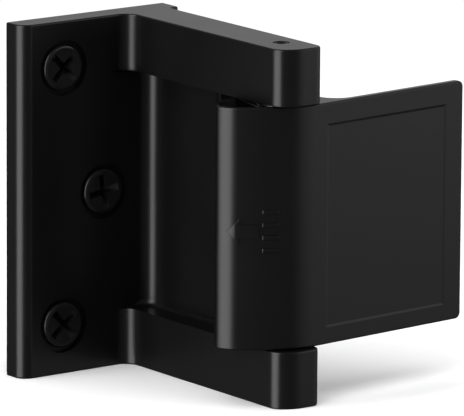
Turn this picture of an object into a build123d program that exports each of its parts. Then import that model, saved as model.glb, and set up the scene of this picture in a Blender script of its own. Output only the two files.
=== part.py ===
from build123d import *
import math
import os

# Surface-mounted door reinforcement lock: a cast bracket with a wall flange and two ears,
# and a spring-loaded leaf that turns on a pin between the ears.
# Millimetres. X runs along the wall to the right, Y runs into the wall, Z is up.
# The origin lies on the flange's back face, behind the middle of the arm, at mid-height.

# Bracket
height = 76.0
arm_thickness = 10.6
arm_reach = 60.05
flange_thickness = 6.0
flange_left = 27.7
flange_tab = 2.4
ear_height = 12.2
web_thickness = 5.0
inner_fillet = 3.2
flange_edge_radius = 2.8
ear_corner_radius = 3.3
ear_corner_turn = 52.0
ear_front_radius = 7.2
ear_right_radius = 2.3
tab_radius = 0.8
recess_fillet = 1.5
edge_round = 0.4

# Hinge pin and its seats
pin_offset = 0.5
pin_setback = 8.55
pin_radius = 2.5
press_clearance = 0.01
running_clearance = 0.05
tenon_radius = 1.7
tenon_bore = 1.05
tenon_bore_depth = 2.5
tenon_length = 4.6
tenon_recess = 0.12
set_screw_radius = 3.0
set_screw_length = 4.6
set_screw_recess = 0.4
hex_across_flats = 3.0
hex_depth = 2.4
thread_clearance = 0.05

# Stop between bracket and leaf
swing_radius = 14.0
stop_left = 5.0
stop_lip = 0.6
stop_slope = 6.4
stop_gap = 0.1
heel_right = 0.7
heel_height = 7.1

# Leaf
lean = 4.64
end_gap = 0.15
drum_start = 2.89
drum_front_radius = 13.0
drum_front_turn = 30.6
facet_radius = 46.0
facet_turn = 12.0
nose_front_radius = 6.4
nose_front_turn = 40.4
nose_corner_radius = 1.7
nose_corner_turn = 36.6
nose_back_radius = 8.5
nose_back_turn = 35.0
plate_front = 7.4
plate_thickness = 1.9
plate_end_gap = 0.63
plate_corner = 1.3
root_radius = 4.5
flank_wall = 3.6
knuckle_back = 9.4
knuckle_corner = 1.5
slide_travel = 2.0
travel_spare = 0.2

# Groove and raised marks on the leaf
groove_start = 6.4
groove_end_margin = 4.9
groove_top_margin = 4.45
groove_bottom_margin = 3.6
groove_width = 0.7
groove_depth = 0.2
mark_height = 0.3
mark_root = 0.8
arrow_angle = 233.3
arrow_half_length = 3.4
arrow_head_length = 2.7
arrow_head_half = 2.65
arrow_shaft_half = 1.45
bars_angle = 240.5
bar_width = 3.6
bar_height = 1.0
bar_pitch = 2.7
bar_count = 4
marks_drop = 0.4

# Slider that rides on the pin inside the leaf
slider_size = 8.0
slider_gap = 0.4
bush_wall = 0.75
bush_length = 8.0
lug_thickness = 2.4
lug_height = 6.4
lug_spigot_radius = 1.2
lug_spigot_length = 1.5
washer_thickness = 0.3
washer_width = 1.45

# Top pocket of the leaf and the torsion spring in it
pocket_rim = 0.9
pocket_spare = 1.2
pocket_back_wall = 1.9
pocket_depth = 5.0
wall_relief = 1.3
wire_radius = 0.5
coil_radius = 5.1
coil_turns = 2.25
coil_pitch = 1.46
coil_end_angle = 170.0
coil_gap = 0.2
leg_length = 7.4
leg_bend = 1.3
leg_tip = 1.2
leg_clearance = 0.15
leg_mouth = 0.45

# Push springs between the slider's lugs and the leaf
push_wire_radius = 0.25
push_coil_radius = 1.65
push_turns = 6
push_spring_height = 7.5
push_gap = 0.03
push_pocket_side = 0.35

# Back cover of the knuckle
cover_thickness = 1.2
cover_half_height = 16.5
cover_edge = 1.6
cover_gap = 0.1
cover_corner = 1.0
cover_screw_radius = 1.0
cover_screw_head = 1.9
cover_screw_length = 3.4
cover_screw_spread = 14.3
cover_screw_u = 1.5

# Wall screws
screw_shank = 2.4
screw_neck = 1.9
screw_head = 4.88
screw_head_angle = 45.0
screw_head_sink = 0.4
screw_rim = 0.35
screw_length = 19.05
screw_point = 3.6
screw_mouth = 6.0
screw_hole = 2.6
screw_thread_start = 0.3
outer_screw_inset = 10.7
middle_screw_inset = 21.05
outer_screw_rise = 27.7
screws_lift = 0.3
cross_length = 6.6
cross_width = 1.5
cross_depth = 2.2
cross_turns = (45.0, -10.0, 50.0)
slot_bar_turns = (0.0, 90.0)

# Worked out from the sizes above
arm_left = -arm_thickness / 2
arm_right = arm_thickness / 2
flange_left_x = arm_left - flange_left
flange_right_x = arm_right + flange_tab
half_height = height / 2
ear_inner = half_height - ear_height
web_left = arm_right - web_thickness
pin_x = pin_offset
pin_y = -arm_reach + pin_setback
web_end = pin_y + swing_radius
leaf_half = ear_inner - end_gap
slider_top = ear_inner - slider_gap
pocket_floor = leaf_half - pocket_depth
plate_reach = -pin_y - flange_thickness - plate_end_gap
fold_angle = 90.0 - lean
slider_half = slider_size / 2
slot_half = slider_half + running_clearance
slot_end = slider_half + slide_travel + travel_spare
flank = slot_end + flank_wall
bush_radius = pin_radius + running_clearance + bush_wall
recess_back = knuckle_back - cover_thickness
push_v = slider_half + push_coil_radius + push_wire_radius + push_gap + running_clearance
push_start = lug_thickness - slider_half
leaf_place = Location((pin_x, pin_y, 0), (0, 0, lean))
screw_places = (
    (flange_left_x + outer_screw_inset, screws_lift + outer_screw_rise),
    (flange_left_x + middle_screw_inset, screws_lift),
    (flange_left_x + outer_screw_inset, screws_lift - outer_screw_rise),
)


def to_leaf(x, y):
    """A point given from the pin in the bracket's axes, in the leaf's own axes."""
    c = math.cos(math.radians(lean))
    s = math.sin(math.radians(lean))
    return x * c + y * s, y * c - x * s


def on_arc(centre, radius, angle):
    """A point on a circle, by the angle of its outward direction."""
    a = math.radians(angle)
    return centre[0] + radius * math.cos(a), centre[1] + radius * math.sin(a)


def block(x0, x1, y0, y1, z0, z1):
    """A box between two corners."""
    return Pos((x0 + x1) / 2, (y0 + y1) / 2, (z0 + z1) / 2) * Box(x1 - x0, y1 - y0, z1 - z0)


def prism(face, z0, z1):
    """A flat face of the XY plane, pulled up between two levels."""
    return Pos(0, 0, z0) * extrude(face, z1 - z0)


def rod(x, y, radius, z0, z1):
    """An upright cylinder between two levels."""
    return Pos(x, y, (z0 + z1) / 2) * Cylinder(radius, z1 - z0)


def round_corner(face, point, radius):
    """The face with the corner nearest to a point rounded."""
    corner = face.vertices().sort_by_distance(point)[0]
    return fillet(corner, radius)


def polygon(points):
    """A flat face through corner points."""
    return make_face(Polyline(*points, close=True))


# Bracket


def ear_profile():
    """Plan of flange and full arm, as it is through the two ears, with a two-arc left corner."""
    turn = 180.0 + ear_corner_turn
    corner_x = arm_left + ear_corner_radius
    front = on_arc((corner_x, 0), ear_corner_radius - ear_front_radius, turn)[0], ear_front_radius - arm_reach
    corner = corner_x, on_arc(front, ear_front_radius - ear_corner_radius, turn)[1]
    meeting = on_arc(corner, ear_corner_radius, turn)
    line = Polyline(
        (front[0], -arm_reach),
        (arm_right, -arm_reach),
        (arm_right, -flange_thickness),
        (flange_right_x, -flange_thickness),
        (flange_right_x, 0),
        (flange_left_x, 0),
        (flange_left_x, -flange_thickness),
        (arm_left, -flange_thickness),
        (arm_left, corner[1]),
    )
    bend = ThreePointArc(line @ 1, on_arc(corner, ear_corner_radius, (180.0 + turn) / 2), meeting)
    end = ThreePointArc(meeting, on_arc(front, ear_front_radius, (turn + 270.0) / 2), line @ 0)
    face = make_face(line.edges() + [bend, end])
    face = round_corner(face, (flange_left_x, -flange_thickness), flange_edge_radius)
    face = round_corner(face, (arm_left, -flange_thickness), inner_fillet)
    face = round_corner(face, (arm_right, -arm_reach), ear_right_radius)
    face = round_corner(face, (arm_right, -flange_thickness), tab_radius)
    return round_corner(face, (flange_right_x, -flange_thickness), tab_radius)


def web_profile():
    """Plan between the ears: flange, web and the stop that the leaf's heels meet."""
    stop_x = pin_x - stop_left
    face = polygon(
        [
            (flange_right_x, 0),
            (flange_left_x, 0),
            (flange_left_x, -flange_thickness),
            (web_left, -flange_thickness),
            (web_left, web_end + stop_lip + stop_slope),
            (stop_x, web_end + stop_lip),
            (stop_x, web_end),
            (arm_right, web_end),
            (arm_right, -flange_thickness),
            (flange_right_x, -flange_thickness),
        ]
    )
    face = round_corner(face, (flange_left_x, -flange_thickness), flange_edge_radius)
    face = round_corner(face, (web_left, -flange_thickness), inner_fillet)
    face = round_corner(face, (arm_right, -flange_thickness), tab_radius)
    return round_corner(face, (flange_right_x, -flange_thickness), tab_radius)


def torsion_leg_point(along):
    """A point on the spring's upper leg, by its distance from the coil."""
    angle = math.radians(coil_end_angle)
    x = pin_x + coil_radius * math.cos(angle) + along * math.sin(angle)
    y = pin_y + coil_radius * math.sin(angle) - along * math.cos(angle)
    return x, y


def make_bracket():
    ears = ear_profile()
    body = prism(ears, -half_height, half_height)
    ends = body.edges().group_by(Axis.Z)
    body = fillet(ends[0] + ends[-1], edge_round)
    gap = prism(make_face(ears.wire()), -ear_inner, ear_inner)
    middle = prism(web_profile(), -ear_inner, ear_inner)
    body = body - (gap - middle)
    corners = [
        edge
        for edge in body.edges().filter_by(Axis.Y)
        if abs(edge.center().X - web_left) < edge_round and abs(abs(edge.center().Z) - ear_inner) < edge_round
    ]
    body = fillet(corners, recess_fillet)
    body -= rod(pin_x, pin_y, pin_radius + press_clearance, -half_height, half_height - tenon_length)
    body -= rod(pin_x, pin_y, tenon_radius + running_clearance, 0, half_height)
    body -= rod(pin_x, pin_y, set_screw_radius, -half_height, -half_height + set_screw_seat())
    for back, depth in ((0.0, leg_bend + leg_tip), (leg_mouth, leg_bend)):
        x, y = torsion_leg_point(leg_length + leg_bend - back)
        body -= rod(x, y, wire_radius + leg_clearance, ear_inner - slider_gap, ear_inner + depth)
    for x, z in screw_places:
        body -= screw_seat(x, z)
    return body


def set_screw_seat():
    """Depth of the threaded seat below the pin, from the bracket's bottom face."""
    return set_screw_recess + set_screw_length + running_clearance


def screw_seat(x, z):
    """Countersunk hole through the flange, along Y."""
    slope = math.tan(math.radians(screw_head_angle))
    cone_depth = (screw_mouth - screw_hole) / slope
    profile = polygon(
        [
            (0, -flange_thickness),
            (screw_mouth, -flange_thickness),
            (screw_hole, -flange_thickness + cone_depth),
            (screw_hole, 0),
            (0, 0),
        ]
    )
    return Pos(x, 0, z) * revolve(profile, Axis.Y)


def cross_recess(turn):
    """Cross-shaped driver recess, cut down from the XY plane."""
    bars = Part()
    for bar_turn in slot_bar_turns:
        top = Rot(0, 0, turn + bar_turn) * Rectangle(cross_length, cross_width)
        low = Pos(0, 0, -cross_depth) * Rot(0, 0, turn + bar_turn) * Rectangle(cross_length / 3, cross_width / 2)
        bars += loft([top, low])
    return bars


def make_mounting_screws():
    """Three countersunk wood screws with plain shanks in the place of their threads."""
    slope = math.tan(math.radians(screw_head_angle))
    head = screw_head - press_clearance
    top = -flange_thickness + screw_head_sink
    seat = -flange_thickness + (screw_mouth - screw_head) / slope
    tip = top + screw_length
    solids = []
    for (x, z), turn in zip(screw_places, cross_turns):
        profile = polygon(
            [
                (0, top),
                (head - screw_rim, top),
                (head, top + screw_rim),
                (head, seat),
                (screw_neck, seat + (head - screw_neck) / slope),
                (screw_neck, screw_thread_start),
                (screw_shank, screw_thread_start),
                (screw_shank, tip - screw_point),
                (0, tip),
            ]
        )
        shape = revolve(profile, Axis.Y)
        cross = Pos(0, top, 0) * Rot(90, 0, 0) * cross_recess(turn)
        solids.append(Pos(x, 0, z) * (shape - cross))
    return Compound(children=[s.solid() for s in solids])


# Pin, bushes and washers


def pin_foot():
    return -half_height + set_screw_seat()


def make_hinge_pin():
    """Shouldered pin: its hollow tenon shows in the top of the upper ear."""
    shoulder = half_height - tenon_length - running_clearance
    top = half_height - tenon_recess
    pin = rod(pin_x, pin_y, pin_radius, pin_foot(), shoulder)
    pin += rod(pin_x, pin_y, tenon_radius, shoulder, top)
    return pin - rod(pin_x, pin_y, tenon_bore, top - tenon_bore_depth, top)


def make_pin_set_screw():
    """Grub screw under the pin, with a hexagon socket."""
    low = -half_height + set_screw_recess
    screw = rod(pin_x, pin_y, set_screw_radius - thread_clearance, low, low + set_screw_length)
    socket = RegularPolygon(hex_across_flats / 2, 6, major_radius=False)
    return screw - Pos(pin_x, pin_y, low) * extrude(socket, hex_depth)


def ring(outer, inner, z0, z1):
    """A tube about the pin's axis."""
    return rod(pin_x, pin_y, outer, z0, z1) - rod(pin_x, pin_y, inner, z0, z1)


def make_washer(side):
    """Thrust washer in the gap between an ear and the slider."""
    inner = pin_radius + running_clearance
    z0 = ear_inner - (slider_gap + washer_thickness) / 2
    z1 = z0 + washer_thickness
    return ring(inner + washer_width, inner, min(side * z0, side * z1), max(side * z0, side * z1))


def make_bush(side):
    """Plain bearing in an end of the slider."""
    z0 = slider_top - bush_length
    z1 = slider_top
    low = min(side * z0, side * z1)
    return ring(bush_radius - press_clearance, pin_radius + running_clearance, low, low + bush_length)


# Slider


def boss_radius():
    """The slider's round top, inside the torsion spring."""
    return coil_radius - wire_radius - 2 * coil_gap


def make_slider():
    """Square block on the pin, with a lug for each push spring. Drawn in the leaf's axes."""
    top = pocket_floor + running_clearance
    body = block(-slider_half, slider_half, -slider_half, slider_half, -slider_top, top)
    body += rod(0, 0, boss_radius(), top, slider_top)
    for side in (-1, 1):
        z = side * push_spring_height
        back = recess_back - cover_gap
        body += block(
            -slider_half, push_start, slider_half, back, z - lug_height / 2, z + lug_height / 2
        )
        spigot = Rot(0, 90, 0) * Cylinder(lug_spigot_radius, lug_spigot_length)
        body += Pos(push_start + lug_spigot_length / 2, push_v, z) * spigot
    body -= rod(0, 0, pin_radius + 2 * running_clearance, -slider_top, slider_top)
    body -= rod(0, 0, bush_radius, slider_top - bush_length, slider_top)
    body -= rod(0, 0, bush_radius, -slider_top, bush_length - slider_top)
    return leaf_place * body


# Leaf


def drum_arcs():
    """The drum's tangent arcs from the plate round the nose: centre, radius, first and last direction."""
    arcs = []
    angle = 270.0
    foot = (drum_start, -plate_front)
    for radius, turn in (
        (drum_front_radius, drum_front_turn),
        (facet_radius, facet_turn),
        (nose_front_radius, nose_front_turn),
        (nose_corner_radius, nose_corner_turn),
        (nose_back_radius, nose_back_turn),
    ):
        centre = on_arc(foot, -radius, angle)
        arcs.append((centre, radius, angle, angle - turn))
        angle -= turn
        foot = on_arc(centre, radius, angle)
    return arcs


def drum_edges(inset):
    """The drum's front, moved inwards by an inset."""
    edges = []
    for centre, radius, first, last in drum_arcs():
        points = [on_arc(centre, radius - inset, angle) for angle in (first, (first + last) / 2, last)]
        edges.append(ThreePointArc(*points))
    return edges


def leaf_profile():
    """Plan of the leaf: curved drum, plate, and the knuckle behind, in the leaf's axes."""
    back = plate_thickness - plate_front
    edges = drum_edges(0.0)
    tip = edges[-1] @ 1
    way = edges[-1] % 1
    line = Polyline(
        (tip.X, tip.Y),
        (tip.X + way.X / way.Y * (knuckle_back - tip.Y), knuckle_back),
        (flank, knuckle_back),
        (flank, back),
        (plate_reach, back),
        (plate_reach, -plate_front),
        (drum_start, -plate_front),
    )
    face = make_face(edges + line.edges())
    face = round_corner(face, (flank, back), root_radius)
    return round_corner(face, (flank, knuckle_back), knuckle_corner)


def behind_drum(inset):
    """Plan of all that lies behind the drum's front, moved inwards by an inset."""
    edges = drum_edges(inset)
    tip = edges[-1] @ 1
    foot = edges[0] @ 0
    far = 2 * swing_radius
    line = Polyline((tip.X, tip.Y), (tip.X, far), (far, far), (far, foot.Y), (foot.X, foot.Y))
    return make_face(edges + line.edges())


def heel(side):
    """Stop lug on the knuckle's back, square to the bracket's stop face."""
    left_u, left_v = to_leaf(-stop_left, swing_radius - stop_gap)
    right_u, right_v = to_leaf(-heel_right, swing_radius - stop_gap)
    face = polygon(
        [
            (left_u, left_v),
            (right_u, right_v),
            (right_u, recess_back),
            (left_u, recess_back),
        ]
    )
    top = leaf_half - wall_relief
    low = side * (top - heel_height)
    return prism(face, min(side * top, low), max(side * top, low))


def top_pocket():
    """Room for the torsion spring, open to the nose: rim at left and front, relief at the back."""
    room = coil_radius + wire_radius + coil_gap
    shift = (slide_travel - pocket_spare) / 2
    far = 2 * swing_radius
    spring_room = rod(shift, 0, room + (slide_travel + pocket_spare) / 2, pocket_floor, leaf_half)
    spring_room += block(-far, shift, -far, knuckle_back - pocket_back_wall, pocket_floor, leaf_half)
    pocket = spring_room & prism(behind_drum(pocket_rim), pocket_floor, leaf_half)
    lowered = leaf_half - wall_relief
    back_relief = block(-room, far, coil_radius, far, lowered, leaf_half)
    side_relief = block(coil_radius, far, 0, far, lowered, leaf_half)
    return pocket + back_relief + side_relief


def spring_pockets():
    """Slot for the slider, and the two pockets that hold its lugs and the push springs."""
    hollow = block(-slot_half, slot_end, -slot_half, slot_half, -leaf_half, pocket_floor)
    half = lug_height / 2 + push_pocket_side
    for side in (-1, 1):
        z = side * push_spring_height
        hollow += block(-slot_half, slot_end, 0, recess_back, z - half, z + half)
    return hollow


def cover_outline(edge_gap):
    """Rounded plate over the spring pockets, lying in the XZ plane of the leaf."""
    left = -slot_half - cover_edge + edge_gap
    right = slot_end + cover_edge - edge_gap
    tall = 2 * (cover_half_height - edge_gap)
    return Pos((left + right) / 2, 0) * RectangleRounded(right - left, tall, cover_corner)


def back_plate(edge_gap, v0, v1):
    """The cover's outline pulled between two depths behind the pin."""
    sheet = Plane((0, v1, 0), x_dir=(1, 0, 0), z_dir=(0, -1, 0)) * cover_outline(edge_gap)
    return extrude(sheet, v1 - v0)


def cover_screw_spots():
    return [(cover_screw_u, side * cover_screw_spread) for side in (-1, 1)] + [(cover_screw_u, 0.0)]


def along_v(u, z, radius, v0, v1):
    """A cylinder across the leaf, between two depths behind the pin."""
    return Pos(u, (v0 + v1) / 2, z) * Rot(90, 0, 0) * Cylinder(radius, v1 - v0)


def groove():
    """Fine rectangular line let into the plate's front."""
    u0 = groove_start
    u1 = plate_reach - groove_end_margin
    z0 = -leaf_half + groove_bottom_margin
    z1 = leaf_half - groove_top_margin
    v0 = -plate_front - groove_depth
    v1 = -plate_front + groove_depth
    outer = block(u0, u1, v0, v1, z0, z1)
    w = groove_width
    return outer - block(u0 + w, u1 - w, v0, v1, z0 + w, z1 - w)


def raised_mark(face, angle):
    """A flat face standing out of the drum's front by an even height, with a root inside the wall."""
    a = math.radians(angle - lean)
    outwards = (math.cos(a), math.sin(a), 0)
    along = (-math.sin(a), math.cos(a), 0)
    u, v = on_arc(drum_arcs()[1][0], facet_radius - mark_root, angle - lean)
    plane = Plane((u, v, -marks_drop), x_dir=along, z_dir=outwards)
    return extrude(plane * face, mark_root + 2 * mark_height) & prism(behind_drum(-mark_height), -leaf_half, leaf_half)


def arrow_face():
    """Block arrow that points to the drum's left edge."""
    neck = arrow_head_length - arrow_half_length
    return polygon(
        [
            (-arrow_half_length, 0),
            (neck, -arrow_head_half),
            (neck, -arrow_shaft_half),
            (arrow_half_length, -arrow_shaft_half),
            (arrow_half_length, arrow_shaft_half),
            (neck, arrow_shaft_half),
            (neck, arrow_head_half),
        ]
    )


def bars_face():
    """Row of plain grip bars beside the arrow."""
    first = -bar_pitch * (bar_count - 1) / 2
    return Sketch() + [Pos(0, first + i * bar_pitch) * Rectangle(bar_width, bar_height) for i in range(bar_count)]


def make_leaf():
    body = prism(leaf_profile(), -leaf_half, leaf_half)
    free = [e for e in body.edges().filter_by(Axis.Y) if e.center().X > plate_reach - edge_round]
    body = fillet(free, plate_corner)
    front = body.faces().sort_by(Axis.Z)
    body = fillet(front[0].outer_wire().edges() + front[-1].outer_wire().edges(), edge_round)
    body += heel(-1)
    body += heel(1)
    body -= top_pocket()
    body -= spring_pockets()
    body -= back_plate(0.0, recess_back, 2 * knuckle_back - recess_back)
    for u, z in cover_screw_spots():
        body -= along_v(u, z, cover_screw_radius + press_clearance, recess_back - cover_screw_length, recess_back)
    body -= groove()
    body += raised_mark(arrow_face(), arrow_angle)
    body += raised_mark(bars_face(), bars_angle)
    leg_u, leg_v = spring_foot()
    hole = wire_radius + leg_clearance
    body -= rod(leg_u, leg_v, hole, pocket_floor - leg_bend - leg_tip, pocket_floor)
    return leaf_place * body


def make_knuckle_cover():
    plate = back_plate(cover_gap, recess_back, knuckle_back)
    for u, z in cover_screw_spots():
        plate -= along_v(u, z, cover_screw_radius + press_clearance, recess_back, knuckle_back)
        depth = cover_screw_head - cover_screw_radius
        sink = Pos(u, knuckle_back - depth / 2, z) * Rot(-90, 0, 0)
        plate -= sink * Cone(cover_screw_radius, cover_screw_head, depth)
    return leaf_place * plate


def make_cover_screws():
    """Three small countersunk screws through the cover."""
    depth = cover_screw_head - cover_screw_radius
    solids = []
    for u, z in cover_screw_spots():
        foot = knuckle_back - cover_thickness - cover_screw_length + cover_gap
        shape = along_v(u, z, cover_screw_radius, foot, knuckle_back)
        head = Pos(u, knuckle_back - depth / 2, z) * Rot(-90, 0, 0)
        shape += head * Cone(cover_screw_radius, cover_screw_head - press_clearance, depth)
        slot = Pos(u, knuckle_back, z) * Rot(-90, 0, 0) * cross_recess(0.0).scale(1 / 3)
        solids.append(leaf_place * (shape - slot))
    return Compound(children=[s.solid() for s in solids])


# Springs


def biarc(p0, t0, p1, t1):
    """Two tangent arcs from one point and direction to another."""
    v = p1 - p0
    t = t0 + t1
    k = 2 * (1 - t0.dot(t1))
    d = (-v.dot(t) + math.sqrt(v.dot(t) ** 2 + k * v.dot(v))) / k
    middle = (p0 + t0 * d + p1 - t1 * d) * 0.5
    first = TangentArc(p0, middle, tangent=t0)
    second = TangentArc(middle, p1, tangent=first % 1)
    return [first, second]


def helix_at(centre, axis, side, radius, rise, angle):
    """A point and direction on a coil: axis is its length, side its zero direction."""
    a = math.radians(angle)
    across = axis.cross(side)
    out = side * math.cos(a) + across * math.sin(a)
    turn = across * math.cos(a) - side * math.sin(a)
    point = centre + out * radius + axis * (rise * angle / 360)
    way = (turn * (2 * math.pi * radius) + axis * rise).normalized()
    return point, way


def coil_edges(centre, axis, side, radius, rise, first, last):
    """A coil's line as a chain of biarcs, each about a quarter turn."""
    count = max(1, round(abs(last - first) / 90))
    edges = []
    for i in range(count):
        a = first + (last - first) * i / count
        b = first + (last - first) * (i + 1) / count
        p0, t0 = helix_at(centre, axis, side, radius, rise, a)
        p1, t1 = helix_at(centre, axis, side, radius, rise, b)
        edges += biarc(p0, t0, p1, t1)
    return edges


def tube(edges, radius):
    """A round wire along a chain of tangent edges."""
    path = Wire(edges)
    start = Plane(origin=path @ 0, z_dir=path % 0)
    return sweep(start * Circle(radius), path=path)


def coil_start_angle():
    """Where the torsion coil begins, counted backwards from its upper end."""
    return coil_end_angle + 360 * coil_turns


def spring_foot():
    """Where the lower leg drops into the leaf, in the leaf's axes."""
    a = math.radians(coil_start_angle())
    x = coil_radius * math.cos(a) - leg_bend * math.sin(a)
    y = coil_radius * math.sin(a) + leg_bend * math.cos(a)
    return to_leaf(x, y)


def make_torsion_spring():
    """Coil round the slider's top: lower leg in the leaf, upper leg in the upper ear."""
    leg_rise = leg_length * coil_pitch / (2 * math.pi * coil_radius)
    top = ear_inner - coil_gap - wire_radius - leg_rise
    low = top - coil_pitch * coil_turns
    start = math.radians(coil_start_angle())
    centre = Vector(pin_x, pin_y, low)
    side = Vector(math.cos(start), math.sin(start), 0)
    axis = Vector(0, 0, -1)
    up = Vector(0, 0, 1)
    turns = 360 * coil_turns
    p0, t0 = helix_at(centre, axis, side, coil_radius, -coil_pitch, 0.0)
    p1, t1 = helix_at(centre, axis, side, coil_radius, -coil_pitch, turns)
    flat0 = Vector(t0.X, t0.Y, 0).normalized()
    flat1 = Vector(t1.X, t1.Y, 0).normalized()
    foot = p0 - flat0 * leg_bend - up * leg_bend
    leg_end = p1 + t1 * leg_length
    tip = leg_end + flat1 * leg_bend + up * leg_bend
    edges = [Line(foot - up * leg_tip, foot)]
    edges += biarc(foot, up, p0, t0)
    edges += coil_edges(centre, axis, side, coil_radius, -coil_pitch, 0.0, turns)
    edges += [Line(p1, leg_end)]
    edges += biarc(leg_end, t1, tip, up)
    edges += [Line(tip, tip + up * (leg_tip - coil_gap))]
    return tube(edges, wire_radius)


def make_push_spring(side):
    """Compression spring from a slider lug to the end of the leaf's pocket."""
    start = push_start + push_wire_radius + push_gap
    end = slot_end - push_wire_radius - push_gap
    rise = (end - start) / push_turns
    centre = Vector(start, push_v, side * push_spring_height)
    edges = coil_edges(centre, Vector(1, 0, 0), Vector(0, 1, 0), push_coil_radius, rise, 0.0, 360.0 * push_turns)
    return leaf_place * tube(edges, push_wire_radius)


def least_gap(centre, axis, side, radius, rise, turns, wire):
    """Least open gap between a coil's neighbouring turns, measured on points."""
    steps = 60
    points = [helix_at(centre, axis, side, radius, rise, 360 * i / steps)[0] for i in range(int(turns * steps) + 1)]
    far = steps // 2
    nearest = min(
        (points[j] - points[i]).length for i in range(len(points)) for j in range(i + far, len(points))
    )
    return nearest - 2 * wire


def print_gaps():
    zero = Vector(0, 0, 0)
    up = Vector(0, 0, 1)
    side = Vector(1, 0, 0)
    gap = least_gap(zero, up, side, coil_radius, coil_pitch, coil_turns, wire_radius)
    print("torsion spring, least gap", round(gap, 3))
    rise = (slot_end - push_start - 2 * push_wire_radius - 2 * push_gap) / push_turns
    gap = least_gap(zero, up, side, push_coil_radius, rise, push_turns, push_wire_radius)
    print("push springs, least gap", round(gap, 3))


parts = {
    "bracket": make_bracket,
    "mounting_screws": make_mounting_screws,
    "hinge_pin": make_hinge_pin,
    "pin_set_screw": make_pin_set_screw,
    "upper_thrust_washer": lambda: make_washer(1),
    "lower_thrust_washer": lambda: make_washer(-1),
    "torsion_spring": make_torsion_spring,
    "slider": make_slider,
    "upper_bush": lambda: make_bush(1),
    "lower_bush": lambda: make_bush(-1),
    "upper_push_spring": lambda: make_push_spring(1),
    "lower_push_spring": lambda: make_push_spring(-1),
    "leaf": make_leaf,
    "knuckle_cover": make_knuckle_cover,
    "cover_screws": make_cover_screws,
}

os.makedirs("parts", exist_ok=True)
for name, make in parts.items():
    export_step(make(), f"parts/{name}.step")
print_gaps()
print("fold angle", fold_angle, "slide", slide_travel)
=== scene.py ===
"""The looks of a surface-mounted door reinforcement lock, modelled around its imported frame."""
import math

import bmesh
import bpy
from mathutils import Matrix, Vector


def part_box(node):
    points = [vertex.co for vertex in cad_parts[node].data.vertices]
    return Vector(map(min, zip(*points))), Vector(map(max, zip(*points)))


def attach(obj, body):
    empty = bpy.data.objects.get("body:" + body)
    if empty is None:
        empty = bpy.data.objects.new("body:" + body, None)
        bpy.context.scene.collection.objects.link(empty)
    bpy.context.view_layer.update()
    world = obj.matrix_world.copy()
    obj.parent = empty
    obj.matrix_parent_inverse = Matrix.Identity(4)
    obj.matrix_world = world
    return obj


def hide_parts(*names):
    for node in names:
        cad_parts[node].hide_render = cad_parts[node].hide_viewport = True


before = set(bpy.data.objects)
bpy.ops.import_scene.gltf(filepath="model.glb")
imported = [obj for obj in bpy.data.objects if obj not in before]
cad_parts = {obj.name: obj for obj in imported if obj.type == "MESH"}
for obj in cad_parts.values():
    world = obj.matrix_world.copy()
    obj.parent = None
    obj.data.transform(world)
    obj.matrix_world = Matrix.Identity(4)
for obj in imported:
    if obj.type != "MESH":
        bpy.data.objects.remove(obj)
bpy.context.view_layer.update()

bl_info = {
    "name": "Door reinforcement lock",
    "version": (1, 0, 0),
    "blender": (4, 5, 0),
    "location": "View3D > Sidebar > Door lock",
    "description": "Models a cast door lock with a wall flange and a swinging leaf",
    "category": "Add Mesh",
}

MM = 0.001
NEAR = 0.02 * MM
CLEAR = 1.0 * MM  # how far a cutter reaches past what it cuts
UPRIGHT = 0.5  # a face whose normal rises by less than this stands upright
FILLET_STEPS = 14
CORNER_STEPS = 12
SMALL_STEPS = 6
RIM_STEPS = 5
ROUND_SIDES = 96
SMALL_ROUND_SIDES = 64
FLANGE_LOW, FLANGE_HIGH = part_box("bracket")
LEAF_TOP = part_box("leaf")[1].z
PIN_LOW, PIN_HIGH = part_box("hinge_pin")
PIN_X = (PIN_LOW.x + PIN_HIGH.x) / 2
PIN_Y = (PIN_LOW.y + PIN_HIGH.y) / 2


def length(name, millimetres, description):
    """A property that holds a length, given in millimetres and kept in metres."""
    return bpy.props.FloatProperty(
        name=name,
        description=description,
        default=millimetres * MM,
        precision=5,
        unit="LENGTH",
        subtype="DISTANCE",
    )


def turn(name, degrees, description):
    """A property that holds an angle, given in degrees."""
    return bpy.props.FloatProperty(
        name=name,
        description=description,
        default=math.radians(degrees),
        unit="ROTATION",
        subtype="ANGLE",
    )


def share(name, value, description):
    """A property that holds a plain number."""
    return bpy.props.FloatProperty(name=name, description=description, default=value, precision=4)


def colour(name, value, description):
    """A property that holds a colour."""
    return bpy.props.FloatVectorProperty(
        name=name,
        description=description,
        default=value,
        subtype="COLOR",
        size=3,
        min=0.0,
        max=1.0,
    )


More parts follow.
